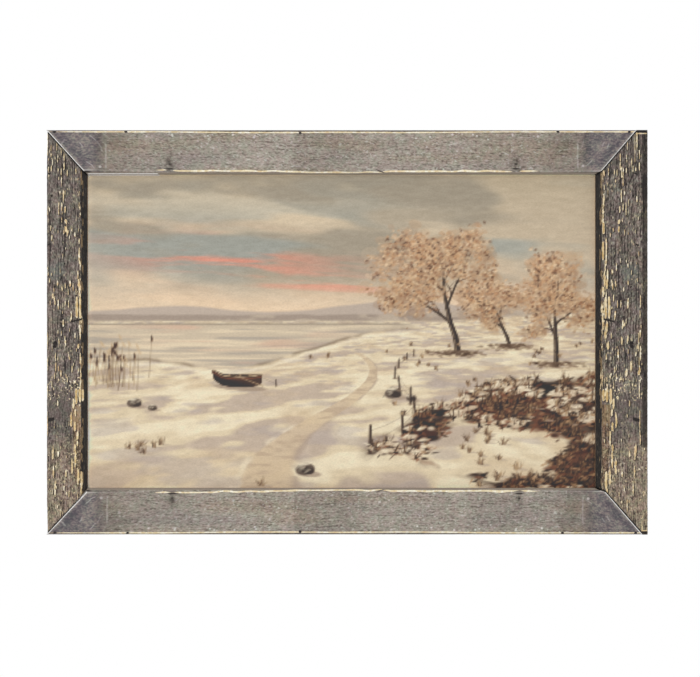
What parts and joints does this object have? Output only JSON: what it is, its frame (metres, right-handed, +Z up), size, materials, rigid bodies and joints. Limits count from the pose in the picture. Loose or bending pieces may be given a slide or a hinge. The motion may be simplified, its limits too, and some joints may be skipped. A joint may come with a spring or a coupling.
{
  "type": "framed wall picture",
  "caption": "Wide, low art print in a mitred frame of weathered barn wood, with turn buttons and a sawtooth hanger on its back.",
  "frame": {"origin": "apex of the hanger's middle notch, in the plane of the frame's back, where the wall nail carries the picture", "axes": "+X to the viewer's right along the frame's width, +Y into the wall, +Z up; the picture faces -Y"},
  "size_m": [0.706, 0.0232, 0.475],
  "materials": {
    "rail_wood": "weathered, matt",
    "stile_wood": "weathered, flaking paint",
    "art_print": "satin varnish",
    "mount_board": "matt",
    "hardboard": "matt",
    "plated_steel": "zinc plated",
    "black_steel": "black oxide",
    "felt": "felt"
  },
  "bodies": {
    "frame": {"top_rail": "rail_wood", "bottom_rail": "rail_wood", "left_stile": "stile_wood", "right_stile": "stile_wood", "art_print": "art_print", "mounting_board": "mount_board", "backing_board": "hardboard", "sawtooth_hanger": "plated_steel", "hanger_nail_left": "plated_steel", "hanger_nail_right": "plated_steel", "wall_bumper_left": "felt", "wall_bumper_right": "felt", "turn_screw_1": "plated_steel", "turn_screw_2": "plated_steel", "turn_screw_3": "plated_steel", "turn_screw_4": "plated_steel", "turn_screw_5": "plated_steel", "turn_screw_6": "plated_steel"},
    "button_1": {"turn_button_1": "black_steel"},
    "button_2": {"turn_button_2": "black_steel"},
    "button_3": {"turn_button_3": "black_steel"},
    "button_4": {"turn_button_4": "black_steel"},
    "button_5": {"turn_button_5": "black_steel"},
    "button_6": {"turn_button_6": "black_steel"}
  },
  "joints": [
    {"name": "button_1_turn", "type": "hinge", "parent": "frame", "child": "button_1", "pos_m": [-0.19, 0, -0.0101], "axis": [0, 1, 0], "continuous": true},
    {"name": "button_2_turn", "type": "hinge", "parent": "frame", "child": "button_2", "pos_m": [0.19, 0, -0.0101], "axis": [0, 1, 0], "continuous": true},
    {"name": "button_3_turn", "type": "hinge", "parent": "frame", "child": "button_3", "pos_m": [0.3073, 0, -0.2115], "axis": [0, 1, 0], "continuous": true},
    {"name": "button_4_turn", "type": "hinge", "parent": "frame", "child": "button_4", "pos_m": [0.19, 0, -0.4103], "axis": [0, 1, 0], "continuous": true},
    {"name": "button_5_turn", "type": "hinge", "parent": "frame", "child": "button_5", "pos_m": [-0.19, 0, -0.4103], "axis": [0, 1, 0], "continuous": true},
    {"name": "button_6_turn", "type": "hinge", "parent": "frame", "child": "button_6", "pos_m": [-0.3211, 0, -0.2115], "axis": [0, 1, 0], "continuous": true}
  ]
}
